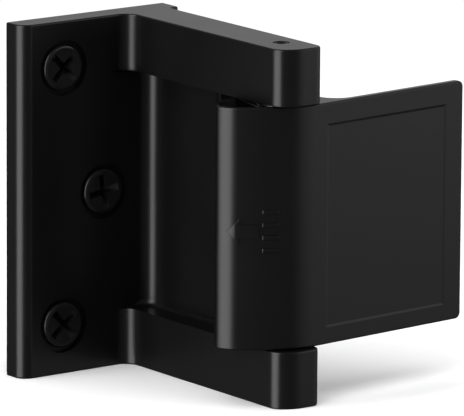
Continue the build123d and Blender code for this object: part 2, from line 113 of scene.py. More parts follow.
class BracketSizes(bpy.types.PropertyGroup):
    """Sizes of the cast bracket."""

    arm_thickness: length("Arm thickness", 10.6, "Thickness of the arm and its two ears")
    flange_thickness: length("Flange thickness", 6.0, "Thickness of the wall flange")
    web_thickness: length("Web thickness", 5.0, "Thickness of the web between the ears")
    web_end: length("Web end", 37.5, "How far the web reaches from the wall")
    ear_height: length("Ear height", 12.2, "Height of each ear")
    flange_edge: length("Flange edge radius", 2.8, "Rounding of the flange's long front edge")
    ear_fillet: length("Ear fillet", 3.2, "Fillet between flange and ears")
    web_fillet: length("Web fillet", 3.2, "Fillet between flange and web")
    ear_corner: length("Ear's corner radius", 3.3, "Tight rounding of the ear's left front corner")
    ear_corner_turn: turn("Ear's corner turn", 52.0, "How far the tight rounding turns")
    ear_front: length("Ear's front radius", 7.2, "Wider rounding that leads on to the ear's front")
    ear_right: length("Ear's right radius", 2.3, "Rounding of the ear's right front corner")
    tab_edge: length("Tab radius", 0.8, "Rounding of the tab's front corners")
    recess_fillet: length("Recess fillet", 1.5, "Rounding where the web meets the ears")
    outline_round: length("Outline rounding", 0.4, "Rounding round the top and bottom faces")
    edge_break: length("Edge break", 0.18, "Small rounding left on every cut edge")
    stop_left: length("Stop width", 5.0, "How far the stop reaches left of the pin's middle")
    stop_lip: length("Stop lip", 0.6, "Straight part of the stop's left edge")
    stop_slope: length("Stop slope", 6.4, "Length of the slope behind the stop")
    set_screw_hole: length("Set screw hole", 3.0, "Radius of the hole under the pin")
    set_screw_depth: length("Set screw hole depth", 5.05, "Depth of the hole under the pin")
    tenon_hole: length("Tenon hole", 1.75, "Radius of the hole round the pin's end")


class WallScrewSizes(bpy.types.PropertyGroup):
    """Sizes of the wall screws and their countersinks."""

    outer_inset: length("Outer inset", 10.7, "Outer screws' distance from the flange's edge")
    middle_inset: length("Middle inset", 21.05, "Middle screw's distance from the flange's edge")
    outer_rise: length("Outer rise", 27.7, "Outer screws' distance from the middle one")
    lift: length("Lift", 0.3, "How far the middle screw lies above mid-height")
    mouth: length("Countersink mouth", 6.0, "Radius of the countersink at the surface")
    sink_depth: length("Sink depth", 1.0, "Depth of the straight wall at the countersink's mouth")
    hole: length("Hole", 2.6, "Radius of the hole through the flange")
    head: length("Head", 4.87, "Radius of the screw head")
    head_sink: length("Head sink", -0.15, "How far the head lies below the flange's face")
    head_rim: length("Head rim", 0.75, "Rounding of the head's rim")
    shank: length("Shank", 2.4, "Radius of the shank behind the flange")
    neck: length("Neck", 1.9, "Radius of the shank inside the flange")
    thread_start: length("Shank start", 0.3, "Where the full shank starts behind the flange")
    behind: length("Length behind", 13.44, "How far the tip lies behind the flange")
    point: length("Point", 3.6, "Length of the tip's cone")
    cross_length: length("Cross length", 7.6, "Length of the driver cross")
    cross_width: length("Cross width", 1.5, "Width of the driver cross")
    cross_depth: length("Cross depth", 2.2, "Depth of the driver cross")
    upper_turn: turn("Upper turn", 45.0, "How the upper screw's cross is turned")
    middle_turn: turn("Middle turn", -10.0, "How the middle screw's cross is turned")
    lower_turn: turn("Lower turn", 50.0, "How the lower screw's cross is turned")


class LeafSizes(bpy.types.PropertyGroup):
    """Sizes of the swinging leaf, seen from its pin."""

    lean: turn("Lean", 4.64, "How far the plate leans back towards the wall")
    drum_start: length("Drum start", 2.89, "Where the plate's flat front turns into the drum")
    drum_radius: length("Drum radius", 13.0, "Radius of the drum next to the plate")
    drum_turn: turn("Drum turn", 30.6, "How far the drum turns next to the plate")
    facet_radius: length("Facet radius", 46.0, "Radius of the drum's nearly flat face")
    facet_turn: turn("Facet turn", 12.0, "How far the nearly flat face turns")
    nose_front: length("Nose front", 6.4, "Radius of the nose's front")
    nose_front_turn: turn("Nose front turn", 40.4, "How far the nose's front turns")
    nose_corner: length("Nose corner", 1.7, "Radius of the nose's corner")
    nose_corner_turn: turn("Nose corner turn", 36.6, "How far the nose's corner turns")
    nose_back: length("Nose back", 8.5, "Radius of the nose's back")
    nose_back_turn: turn("Nose back turn", 35.0, "How far the nose's back turns")
    plate_front: length("Plate front", 7.4, "How far the plate's front lies before the pin")
    plate_thickness: length("Plate thickness", 1.9, "Thickness of the plate")
    plate_reach: length("Plate reach", 44.87, "Distance from the pin to the plate's free edge")
    plate_corner: length("Plate corner", 1.3, "Rounding of the plate's free corners")
    root: length("Root", 4.5, "Fillet behind the plate")
    flank: length("Flank", 9.8, "How far the knuckle reaches right of the pin")
    back: length("Knuckle back", 9.4, "How far the knuckle reaches behind the pin")
    back_corner: length("Knuckle corner", 1.5, "Rounding of the knuckle's back corner")
    outline_round: length("Outline rounding", 0.4, "Rounding round the top and bottom faces")
    edge_break: length("Edge break", 0.12, "Small rounding left on every cut edge")
    pocket_rim: length("Pocket rim", 0.9, "Wall left in front of the spring pocket")
    pocket_radius: length("Pocket radius", 7.4, "Radius of the spring pocket")
    pocket_shift: length("Pocket shift", 0.4, "How far the pocket lies right of the pin")
    pocket_depth: length("Pocket depth", 5.0, "Depth of the spring pocket")
    pocket_back: length("Pocket back", 1.9, "Wall left behind the pocket at the nose")
    relief: length("Relief", 1.3, "How far the walls behind the spring are lowered")
    relief_start: length("Relief start", 5.1, "Where the lowered walls start")
    relief_left: length("Relief left", 5.8, "Left end of the lowered back wall")
    slot_half: length("Slot half width", 4.05, "Half width of the slider's slot")
    slot_end: length("Slot end", 6.2, "Right end of the slider's slot")
    cover_seat: length("Cover seat", 1.2, "Depth of the seat for the back cover")
    cover_edge: length("Cover edge", 1.6, "How far the cover reaches past the slot")
    cover_half: length("Cover half height", 16.5, "Half height of the back cover")
    heel_left: length("Heel left", 5.0, "Left edge of the heels, from the pin")
    heel_right: length("Heel right", 0.7, "Right edge of the heels, from the pin")
    heel_face: length("Heel face", 13.9, "How far the heels reach behind the pin")
    heel_height: length("Heel height", 7.1, "Height of each heel")
    panel_start: length("Panel start", 6.4, "Left edge of the sunk panel on the plate")
    panel_end: length("Panel end", 4.9, "Distance from the panel to the free edge")
    panel_top: length("Panel top", 4.45, "Distance from the panel to the top")
    panel_bottom: length("Panel bottom", 3.6, "Distance from the panel to the bottom")
    panel_slope: length("Panel slope", 0.5, "Width of the sloping walls round the panel")
    panel_depth: length("Panel depth", 0.08, "Depth of the sunk panel")


class MarkSizes(bpy.types.PropertyGroup):
    """Sizes of the raised arrow and bars on the drum."""

    rise: length("Rise", 0.3, "How far the marks stand out")
    root: length("Root", 0.8, "How far the marks reach into the drum's wall")
    edge: length("Mark edge", 0.2, "Rounding of the marks' edges")
    drop: length("Drop", 0.4, "How far the marks lie below mid-height")
    arrow_turn: turn("Arrow", 233.3, "Direction from the facet's axis to the arrow")
    arrow_half: length("Arrow half length", 3.4, "Half length of the arrow")
    head_length: length("Arrow head length", 2.7, "Length of the arrow's head")
    head_half: length("Arrow head half width", 2.65, "Half width of the arrow's head")
    shaft_half: length("Shaft half width", 1.45, "Half width of the arrow's shaft")
    bars_turn: turn("Bars", 240.5, "Direction from the facet's axis to the bars")
    bar_width: length("Bar width", 3.6, "Width of each bar")
    bar_height: length("Bar height", 1.0, "Height of each bar")
    bar_pitch: length("Bar pitch", 2.7, "Distance from bar to bar")
    bar_count: bpy.props.IntProperty(name="Bars", description="Number of bars", default=4)


class Finish(bpy.types.PropertyGroup):
    """Colours and roughness of the finishes."""

    casting: colour("Casting", (0.0015, 0.0015, 0.0016), "Colour of the black coated casting")
    casting_rough: share("Casting roughness", 0.32, "Roughness of the coated casting")
    hardware: colour("Hardware", (0.004, 0.004, 0.0042), "Colour of the blackened screws")
    hardware_rough: share("Hardware roughness", 0.26, "Roughness of the blackened screws")
    steel: colour("Steel", (0.36, 0.36, 0.37), "Colour of the plain steel pieces")
    bronze: colour("Bronze", (0.42, 0.27, 0.12), "Colour of the bushes")
    nylon: colour("Nylon", (0.02, 0.02, 0.021), "Colour of the thrust washers")


class Studio(bpy.types.PropertyGroup):
    """Camera and lamps."""

    azimuth: turn("Azimuth", 36.702, "The camera looks this far to the right of +Y")
    elevation: turn("Elevation", 12.018, "The camera looks down by this angle")
    roll: turn("Roll", 0.356, "Turn of the camera about its line of sight")
    distance: length("Distance", 1442.9, "Distance from the camera to its aim")
    aim_x: length("Aim X", 16.512, "Point that the camera aims at")
    aim_y: length("Aim Y", -13.369, "Point that the camera aims at")
    aim_z: length("Aim Z", -5.544, "Point that the camera aims at")
    lens: share("Lens", 524.1, "Focal length in millimetres on a 36 mm sensor")


# Modelling by hand

LARGE_FACE_WEIGHT = 90  # how much smooth shading leans on the larger faces


def deselect():
    bpy.ops.object.select_all(action="DESELECT")


def take(piece):
    """Makes one piece the only selected and the active one."""
    deselect()
    piece.select_set(True)
    bpy.context.view_layer.objects.active = piece


def apply_place(piece):
    """Puts the piece's place into its mesh."""
    take(piece)
    bpy.ops.object.transform_apply(location=True, rotation=True, scale=True)


def add_block(name, low, high):
    """A box between two corners."""
    deselect()
    low, high = Vector(low), Vector(high)
    bpy.ops.mesh.primitive_cube_add(size=1.0, location=(low + high) / 2, scale=high - low)
    piece = bpy.context.active_object
    piece.name = name
    apply_place(piece)
    return piece


def add_rod(name, start, end, radius, end_radius=None, sides=ROUND_SIDES):
    """A round rod or cone from one point to another."""
    deselect()
    start, end = Vector(start), Vector(end)
    way = end - start
    bpy.ops.mesh.primitive_cone_add(
        vertices=sides,
        radius1=radius,
        radius2=radius if end_radius is None else end_radius,
        depth=way.length,
        location=(start + end) / 2,
        rotation=way.to_track_quat("Z", "Y").to_euler(),
    )
    piece = bpy.context.active_object
    piece.name = name
    apply_place(piece)
    return piece


def face_outwards(piece):
    """Turns every face of a closed piece outwards."""
    take(piece)
    bpy.ops.object.mode_set(mode="EDIT")
    bpy.ops.mesh.select_all(action="SELECT")
    bpy.ops.mesh.normals_make_consistent(inside=False)
    bpy.ops.object.mode_set(mode="OBJECT")


def add_prism(name, outline, low, high):
    """An upright prism: a flat disc shaped to an outline, then pulled up."""
    deselect()
    bpy.ops.mesh.primitive_circle_add(vertices=len(outline), radius=1.0, fill_type="NGON")
    piece = bpy.context.active_object
    piece.name = name
    for vertex, (x, y) in zip(piece.data.vertices, outline):
        vertex.co = (x, y, low)
    bpy.ops.object.mode_set(mode="EDIT")
    bpy.ops.mesh.select_all(action="SELECT")
    bpy.ops.mesh.extrude_region_move(TRANSFORM_OT_translate={"value": (0, 0, high - low)})
    bpy.ops.object.mode_set(mode="OBJECT")
    face_outwards(piece)
    return piece


def arc_points(centre, radius, first, last, steps):
    """Points along an arc in plan, from one direction to another."""
    angles = [first + (last - first) * i / steps for i in range(steps + 1)]
    return [(centre[0] + radius * math.cos(a), centre[1] + radius * math.sin(a)) for a in angles]


def pick(piece, test):
    """Selects the edges that pass a test, and stays in edit mode."""
    take(piece)
    bpy.ops.object.mode_set(mode="EDIT")
    bpy.ops.mesh.select_mode(type="EDGE")
    bpy.ops.mesh.select_all(action="DESELECT")
    mesh = bmesh.from_edit_mesh(piece.data)
    for edge in mesh.edges:
        if test(edge):
            edge.select_set(True)
    bmesh.update_edit_mesh(piece.data)


def round_edges(piece, test, radius, steps):
    """Rounds the edges that pass a test."""
    pick(piece, test)
    bpy.ops.mesh.bevel(offset=radius, segments=steps, affect="EDGES", clamp_overlap=False)
    bpy.ops.object.mode_set(mode="OBJECT")


def upright_at(x, y):
    """Test for an upright edge at a place in plan."""

    def test(edge):
        return all(abs(v.co.x - x) < NEAR and abs(v.co.y - y) < NEAR for v in edge.verts)

    return test


def rim_of(level):
    """Test for an edge round a flat face at a level."""

    def test(edge):
        flat = all(abs(v.co.z - level) < NEAR for v in edge.verts)
        return flat and any(abs(face.normal.z) < UPRIGHT for face in edge.link_faces)

    return test


def combine(piece, other, operation):
    """Cuts away, adds or keeps the space of another piece, which is used up."""
    take(piece)
    modifier = piece.modifiers.new("combine", "BOOLEAN")
    modifier.operation = operation
    modifier.solver = "EXACT"
    modifier.object = other
    bpy.ops.object.modifier_apply(modifier=modifier.name)
    bpy.data.objects.remove(other)


def break_edges(piece, width, steps=2, limit=35.0):
    """Rounds every edge sharper than a limit by a little."""
    take(piece)
    modifier = piece.modifiers.new("break", "BEVEL")
    modifier.width = width
    modifier.segments = steps
    modifier.limit_method = "ANGLE"
    modifier.angle_limit = math.radians(limit)
    modifier.use_clamp_overlap = True
    bpy.ops.object.modifier_apply(modifier=modifier.name)


def smooth(piece, limit=32.0):
    """Smooth shading that keeps the edges above a limit and those that are marked sharp."""
    take(piece)
    bpy.ops.object.shade_smooth_by_angle(angle=math.radians(limit), keep_sharp_edges=True)
    modifier = piece.modifiers.new("weigh", "WEIGHTED_NORMAL")
    modifier.keep_sharp = True
    modifier.weight = LARGE_FACE_WEIGHT
    bpy.ops.object.modifier_apply(modifier=modifier.name)


def dress(piece, material, body, node):
    """Gives a finished piece its material, its body and the node it stands for."""
    piece.data.materials.clear()
    piece.data.materials.append(material)
    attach(piece, body)
    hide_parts(node)


def merged_copy(node, name):
    """A copy of a frame node's mesh with its loose triangles joined."""
    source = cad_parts[node]
    piece = bpy.data.objects.new(name, source.data.copy())
    bpy.context.scene.collection.objects.link(piece)
    take(piece)
    bpy.ops.object.mode_set(mode="EDIT")
    bpy.ops.mesh.select_all(action="SELECT")
    bpy.ops.mesh.remove_doubles(threshold=0.5 * NEAR)
    bpy.ops.object.mode_set(mode="OBJECT")
    return piece


# Finishes

TINT = 0.15  # how far the colour varies either way


def new_group(name, inputs, outputs):
    """An empty shader node group with named sockets."""
    group = bpy.data.node_groups.new(name, "ShaderNodeTree")
    for label, value in inputs:
        socket = group.interface.new_socket(label, in_out="INPUT", socket_type="NodeSocketFloat")
        socket.default_value = value
    for label in outputs:
        group.interface.new_socket(label, in_out="OUTPUT", socket_type="NodeSocketFloat")
    return group


def add_node(tree, kind, values):
    """A new node of a kind, with the values of some of its inputs."""
    node = tree.nodes.new(kind)
    for label, value in values.items():
        node.inputs[label].default_value = value
    return node


def grain_group():
    """Fine coating texture: a height for bump and a mask for roughness."""
    group = bpy.data.node_groups.get("coating_grain")
    if group:
        return group
    group = new_group("coating_grain", [("Scale", 900.0), ("Blotch", 60.0)], ["Height", "Mask"])
    nodes, links = group.nodes, group.links
    given = nodes.new("NodeGroupInput")
    out = nodes.new("NodeGroupOutput")
    place = nodes.new("ShaderNodeTexCoord")
    fine = add_node(group, "ShaderNodeTexNoise", {"Detail": 3.0, "Roughness": 0.6})
    coarse = add_node(group, "ShaderNodeTexNoise", {"Detail": 2.0})
    links.new(place.outputs["Object"], fine.inputs["Vector"])
    links.new(place.outputs["Object"], coarse.inputs["Vector"])
    links.new(given.outputs["Scale"], fine.inputs["Scale"])
    links.new(given.outputs["Blotch"], coarse.inputs["Scale"])
    links.new(fine.outputs["Fac"], out.inputs["Height"])
    links.new(coarse.outputs["Fac"], out.inputs["Mask"])
    return group


def coated(name, base, rough, spread, scale, height, metallic):
    """A material of one base colour with a fine texture in its height and roughness."""
    material = bpy.data.materials.new(name)
    material.use_nodes = True
    tree = material.node_tree
    nodes, links = tree.nodes, tree.links
    shader = nodes["Principled BSDF"]
    shader.inputs["Metallic"].default_value = metallic
    grain = nodes.new("ShaderNodeGroup")
    grain.node_tree = grain_group()
    grain.inputs["Scale"].default_value = scale
    levels = {"To Min": rough - spread, "To Max": rough + spread}
    level = add_node(tree, "ShaderNodeMapRange", levels)
    tint = nodes.new("ShaderNodeMix")
    tint.data_type = "RGBA"
    tint.inputs["A"].default_value = (*[(1.0 - TINT) * part for part in base], 1.0)
    tint.inputs["B"].default_value = (*[(1.0 + TINT) * part for part in base], 1.0)
    bump = add_node(tree, "ShaderNodeBump", {"Strength": 1.0, "Distance": height})
    links.new(grain.outputs["Mask"], level.inputs["Value"])
    links.new(level.outputs["Result"], shader.inputs["Roughness"])
    links.new(grain.outputs["Mask"], tint.inputs["Factor"])
    links.new(tint.outputs["Result"], shader.inputs["Base Color"])
    links.new(grain.outputs["Height"], bump.inputs["Height"])
    links.new(bump.outputs["Normal"], shader.inputs["Normal"])
    return material


def finish(kind):
    """The material of a kind of finish, made once."""
    found = bpy.data.materials.get(kind)
    if found:
        return found
    f = bpy.context.scene.lock_finish
    # Colour, roughness, its spread, the grain's scale and height, and metallic
    kinds = {
        "black_coating": (f.casting, f.casting_rough, 0.03, 1100.0, 0.004 * MM, 0.0),
        "black_hardware": (f.hardware, f.hardware_rough, 0.06, 700.0, 0.004 * MM, 0.0),
        "plain_steel": (f.steel, 0.28, 0.08, 500.0, 0.003 * MM, 1.0),
        "spring_wire": (f.steel, 0.22, 0.06, 600.0, 0.002 * MM, 1.0),
        "bearing_bronze": (f.bronze, 0.35, 0.08, 500.0, 0.003 * MM, 1.0),
        "nylon": (f.nylon, 0.45, 0.05, 800.0, 0.003 * MM, 0.0),
    }
    return coated(kind, *kinds[kind])


# Bracket


def screw_places():
    """Middle of each wall screw on the flange, with its turn."""
    w = bpy.context.scene.lock_wall_screws
    left = FLANGE_LOW.x
    return [
        (left + w.outer_inset, w.lift + w.outer_rise, w.upper_turn),
        (left + w.middle_inset, w.lift, w.middle_turn),
        (left + w.outer_inset, w.lift - w.outer_rise, w.lower_turn),
    ]


TENON_HOLE_DEPTH = 4.0 * MM
EAR_LAP = 3.0 * MM  # how far the ears reach into the web when they are joined
FLAT_LIMIT = math.radians(0.05)


class LOCK_OT_bracket(bpy.types.Operator):
    """Model the cast bracket: wall flange, web, stop and two ears"""

    bl_idname = "lock.bracket"
    bl_label = "Bracket"

    def execute(self, context):
        b = context.scene.lock_bracket
        top = FLANGE_HIGH.z
        ear_inner = top - b.ear_height
        body = add_prism("bracket_casting", self.base_outline(b), -top, top)
        for low, high in ((ear_inner, top), (-top, -ear_inner)):
            combine(body, add_prism("ear", self.ear_outline(b), low, high), "UNION")
        pick(body, lambda edge: True)
        bpy.ops.mesh.dissolve_limited(angle_limit=FLAT_LIMIT)
        bpy.ops.object.mode_set(mode="OBJECT")
        for x in (FLANGE_LOW.x, FLANGE_HIGH.x):
            round_edges(body, upright_at(x, 0.0), b.outline_round, steps=4)
        for level in (top, -top):
            round_edges(body, rim_of(level), b.outline_round, RIM_STEPS)
        self.round_recess(body, b, ear_inner)
        self.cut_holes(body, b, top)
        break_edges(body, b.edge_break)
        smooth(body)
        dress(body, finish("black_coating"), "bracket", "bracket")
        return {"FINISHED"}

    def web_centre(self, b):
        """Middle of the fillet between flange and web, in plan."""
        web_left = b.arm_thickness / 2 - b.web_thickness
        return web_left - b.web_fillet, -b.flange_thickness - b.web_fillet

    def base_outline(self, b):
        """Plan of flange, web and stop."""
        left, right = FLANGE_LOW.x, FLANGE_HIGH.x
        arm_right = b.arm_thickness / 2
        front = -b.flange_thickness
        web_left = arm_right - b.web_thickness
        stop_x = PIN_X - b.stop_left
        edge = b.flange_edge
        tab = b.tab_edge
        outline = [(right, 0.0), (left, 0.0)]
        outline += arc_points(
            (left + edge, front + edge), edge, math.pi, 1.5 * math.pi, FILLET_STEPS
        )
        outline += arc_points(self.web_centre(b), b.web_fillet, 0.5 * math.pi, 0.0, FILLET_STEPS)
        outline += [
            (web_left, -b.web_end + b.stop_lip + b.stop_slope),
            (stop_x, -b.web_end + b.stop_lip),
            (stop_x, -b.web_end),
            (arm_right, -b.web_end),
        ]
        outline += arc_points(
            (arm_right + tab, front - tab), tab, math.pi, 0.5 * math.pi, SMALL_STEPS
        )
        outline += arc_points(
            (right - tab, front + tab), tab, 1.5 * math.pi, 2 * math.pi, SMALL_STEPS
        )
        return outline

    def ear_outline(self, b):
        """Plan of an ear, from inside the web round its front."""
        arm_left = -b.arm_thickness / 2
        arm_right = b.arm_thickness / 2
        front = -b.flange_thickness
        reach = FLANGE_LOW.y
        fillet = (arm_left - b.ear_fillet, front - b.ear_fillet)
        right = b.ear_right
        outline = [
            (arm_right, -b.web_end),
            (arm_right - EAR_LAP, -b.web_end + EAR_LAP),
            (arm_right - EAR_LAP, 0.5 * front),
            (fillet[0], 0.5 * front),
        ]
        outline += arc_points(fillet, b.ear_fillet, 0.5 * math.pi, 0.0, FILLET_STEPS)
        outline += self.ear_corner(b, arm_left, reach)
        outline += arc_points(
            (arm_right - right, reach + right), right, 1.5 * math.pi, 2 * math.pi, CORNER_STEPS
        )
        return outline

    def ear_corner(self, b, side, reach):
        """The arm's left front corner: a tight arc that runs into a wider one."""
        turned = math.pi + b.ear_corner_turn
        step = b.ear_front - b.ear_corner
        front = (side + b.ear_corner - step * math.cos(turned), reach + b.ear_front)
        corner = (side + b.ear_corner, front[1] + step * math.sin(turned))
        tight = arc_points(corner, b.ear_corner, math.pi, turned, CORNER_STEPS)
        wide = arc_points(front, b.ear_front, turned, 1.5 * math.pi, CORNER_STEPS)
        return tight + wide[1:]

    def round_recess(self, body, b, ear_inner):
        """Rounds the edges where the web meets the ears, and the rims inside the ears."""
        web_left = b.arm_thickness / 2 - b.web_thickness
        web_start = self.web_centre(b)[0]
        stop_start = -b.web_end + b.stop_lip + b.stop_slope

        def at_ear(edge):
            return all(abs(abs(v.co.z) - ear_inner) < NEAR for v in edge.verts)

        def along_web(edge):
            beside = all(
                v.co.x < web_left + NEAR and v.co.y > stop_start - NEAR for v in edge.verts
            )
            on_web = all(v.co.x > web_start + NEAR for v in edge.verts)
            return at_ear(edge) and beside and on_web

        def ear_rim(edge):
            forward = all(v.co.y < -b.web_end - NEAR for v in edge.verts)
            upright = any(abs(face.normal.z) < UPRIGHT for face in edge.link_faces)
            return at_ear(edge) and forward and upright

        round_edges(body, along_web, b.recess_fillet, steps=8)
        round_edges(body, ear_rim, b.outline_round, RIM_STEPS)

    def cut_holes(self, body, b, top):
        """Cuts the countersunk holes, the hole round the tenon and the set screw's hole."""
        w = bpy.context.scene.lock_wall_screws
        front = -b.flange_thickness
        start = front + 0.5 * w.sink_depth
        wide = w.mouth - 0.5 * w.sink_depth
        narrow = 0.5 * w.hole
        low = -top - CLEAR
        for x, z, _ in screw_places():
            for name, first, last, *radii in (
                ("hole", CLEAR, front - CLEAR, w.hole),
                ("mouth", front - CLEAR, front + w.sink_depth, w.mouth),
                ("sink", start, start + wide - narrow, wide, narrow),
            ):
                combine(body, add_rod(name, (x, first, z), (x, last, z), *radii), "DIFFERENCE")
        for name, first, last, radius in (
            ("tenon_hole", top - TENON_HOLE_DEPTH, top + CLEAR, b.tenon_hole),
            ("set_screw_hole", low, -top + b.set_screw_depth, b.set_screw_hole),
        ):
            ends = ((PIN_X, PIN_Y, first), (PIN_X, PIN_Y, last))
            combine(body, add_rod(name, *ends, radius, sides=SMALL_ROUND_SIDES), "DIFFERENCE")


NECK_LAP = 0.2 * MM
POINT_LAP = 0.01 * MM
POINT_END = 0.02 * MM
SCREW_EDGE_BREAK = 0.06 * MM
SCREW_EDGE_LIMIT = 30.0
CROSS_LONG_TAPER = 0.35
CROSS_SLIM_TAPER = 0.6
CROSS_STARTS = (0.05 * MM, 0.08 * MM)  # unequal, so that the slots share no face


class LOCK_OT_wall_screws(bpy.types.Operator):
    """Model the three wall screws, one shaped and two copied"""

    bl_idname = "lock.wall_screws"
    bl_label = "Wall screws"

    def execute(self, context):
        w = context.scene.lock_wall_screws
        b = context.scene.lock_bracket
        face = -b.flange_thickness + w.head_sink
        seat = -b.flange_thickness + (w.mouth - w.head)
        tip = FLANGE_HIGH.y + w.behind
        neck_end = seat + (w.head - w.neck)
        first = add_rod("wall_screw_upper", (0, face, 0), (0, seat, 0), w.head)

        def front_rim(edge):
            return all(abs(v.co.y - face) < NEAR for v in edge.verts)

        round_edges(first, front_rim, w.head_rim, SMALL_STEPS)
        for name, start, end, *radii in (
            ("cone", seat, neck_end, w.head, w.neck),
            ("neck", neck_end - NECK_LAP, w.thread_start, w.neck),
            ("shank", w.thread_start, tip - w.point, w.shank),
            ("point", tip - w.point - POINT_LAP, tip, w.shank, POINT_END),
        ):
            combine(first, add_rod(name, (0, start, 0), (0, end, 0), *radii), "UNION")
        self.cut_cross(first, w, face)
        break_edges(first, SCREW_EDGE_BREAK, limit=SCREW_EDGE_LIMIT)
        smooth(first)
        screws = [first]
        for name in ("wall_screw_middle", "wall_screw_lower"):
            twin = first.copy()
            twin.data = first.data.copy()
            twin.name = name
            context.scene.collection.objects.link(twin)
            screws.append(twin)
        for screw, (x, z, angle) in zip(screws, screw_places()):
            screw.rotation_euler = (0.0, angle, 0.0)
            screw.location = (x, 0.0, z)
            apply_place(screw)
            dress(screw, finish("black_hardware"), "bracket", "mounting_screws")
        return {"FINISHED"}

    def cut_cross(self, screw, w, face):
        """Cuts the driver cross: two tapered slots, which start at different heights."""
        half = w.cross_length / 2
        slim = w.cross_width / 2
        low = face + w.cross_depth
        cutters = []
        for size_x, size_z, taper_x, taper_z, spare in (
            (half, slim, CROSS_LONG_TAPER, CROSS_SLIM_TAPER, CROSS_STARTS[0]),
            (slim, half, CROSS_SLIM_TAPER, CROSS_LONG_TAPER, CROSS_STARTS[1]),
        ):
            slot = add_block("slot", (-size_x, face - spare, -size_z), (size_x, low, size_z))
            for vertex in slot.data.vertices:
                if vertex.co.y > face:
                    vertex.co.x *= taper_x
                    vertex.co.z *= taper_z
            cutters.append(slot)
        cross, other = cutters
        combine(cross, other, "UNION")
        combine(screw, cross, "DIFFERENCE")


# Leaf

SLOPE_NORMAL = (-0.9999, -0.95)  # how far the panel's sloping walls face forwards
END_NORMAL = 0.99  # a face whose normal points right by more than this is at the free edge
LEVEL_NORMAL = 0.05  # a face whose normal rises by more than this is part of top or bottom
WHOLE_EDGE = 0.9  # share of the plate's thickness that its corner edges have at least
DRUM_STEPS = (30, 12, 32, 16, 14)  # one count for each of the drum's arcs
FAR = 3  # cutters that take all that lies on one side reach this many times the knuckle's back


def drum_arcs():
    """The drum's tangent arcs from the plate round the nose.

    Each has its centre, its radius and its first and last direction.
    """
    s = bpy.context.scene.lock_leaf
    arcs = []
    angle = 1.5 * math.pi
    foot = (s.drum_start, -s.plate_front)
    for radius, turned in (
        (s.drum_radius, s.drum_turn),
        (s.facet_radius, s.facet_turn),
        (s.nose_front, s.nose_front_turn),
        (s.nose_corner, s.nose_corner_turn),
        (s.nose_back, s.nose_back_turn),
    ):
        centre = (foot[0] - radius * math.cos(angle), foot[1] - radius * math.sin(angle))
        arcs.append((centre, radius, angle, angle - turned))
        angle -= turned
        foot = (centre[0] + radius * math.cos(angle), centre[1] + radius * math.sin(angle))
    return arcs


def drum_line(inset=0.0):
    """Points along the drum's front in plan, moved inwards by an inset."""
    points = []
    for (centre, radius, first, last), steps in zip(drum_arcs(), DRUM_STEPS):
        points += arc_points(centre, radius - inset, first, last, steps)[1 if points else 0 :]
    return points


def add_behind_drum(name, inset, low, high):
    """A prism of all that lies behind the drum's front, moved inwards by an inset."""
    s = bpy.context.scene.lock_leaf
    line = drum_line(inset)
    far = FAR * s.back
    rest = [(line[-1][0], far), (far, far), (far, line[0][1])]
    return add_prism(name, line + rest, low, high)


def to_leaf(x, y):
    """A point given from the pin along the wall's axes, in the leaf's own axes."""
    s = bpy.context.scene.lock_leaf
    c, k = math.cos(s.lean), math.sin(s.lean)
    return x * c + y * k, y * c - x * k


